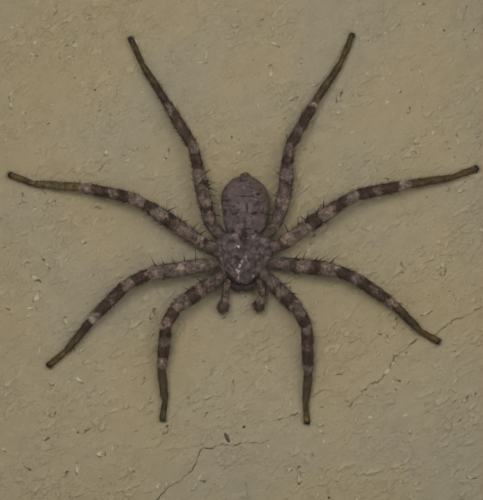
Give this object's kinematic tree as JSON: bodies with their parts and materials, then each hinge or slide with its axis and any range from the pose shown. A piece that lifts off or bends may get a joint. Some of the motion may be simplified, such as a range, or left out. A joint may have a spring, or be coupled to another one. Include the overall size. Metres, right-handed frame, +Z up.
{
  "type": "framed flattie spider specimen",
  "caption": "Dried, spread flattie spider fixed head down on a rough plaster panel in a small glazed wooden box frame that stands or hangs.",
  "frame": {"origin": "middle of the frame's footprint, at the height of the bottom rail's underside", "axes": "+Z up the frame, -Y out of its glazed front towards the viewer, +X to the right seen from the front"},
  "size_m": [0.09, 0.02, 0.09],
  "materials": {
    "rail_wood": "satin, dark stained, grain along each rail",
    "glass": "clear, low reflection",
    "spacer": "matt, dark stained",
    "plaster": "matt, rough, khaki wash with nibs and hairline cracks",
    "hardboard": "matt, pressed fibre",
    "steel": "zinc plated, satin",
    "glue": "dried clear glue, yellowed",
    "spider_body": "matt, grey brown, mottled and hairy",
    "spider_leg": "matt, banded pale and dark brown, hairy"
  },
  "bodies": {
    "root": {"frame_rail_top": "rail_wood", "frame_rail_bottom": "rail_wood", "frame_rail_left": "rail_wood", "frame_rail_right": "rail_wood", "glass_pane": "glass", "spacer_top": "spacer", "spacer_bottom": "spacer", "spacer_left": "spacer", "spacer_right": "spacer", "mount_panel": "plaster", "back_board": "hardboard", "steel_point_top": "steel", "steel_point_bottom": "steel", "steel_point_left": "steel", "steel_point_right": "steel", "hanger_plate": "steel", "hanger_nail_left": "steel", "hanger_nail_right": "steel", "glue_dab": "glue", "cephalothorax": "spider_body", "abdomen": "spider_body", "chelicera_left": "spider_body", "chelicera_right": "spider_body", "pedipalp_left": "spider_leg", "pedipalp_right": "spider_leg", "leg_left_1": "spider_leg", "leg_left_2": "spider_leg", "leg_left_3": "spider_leg", "leg_left_4": "spider_leg", "leg_right_1": "spider_leg", "leg_right_2": "spider_leg", "leg_right_3": "spider_leg", "leg_right_4": "spider_leg"}
  },
  "joints": []
}
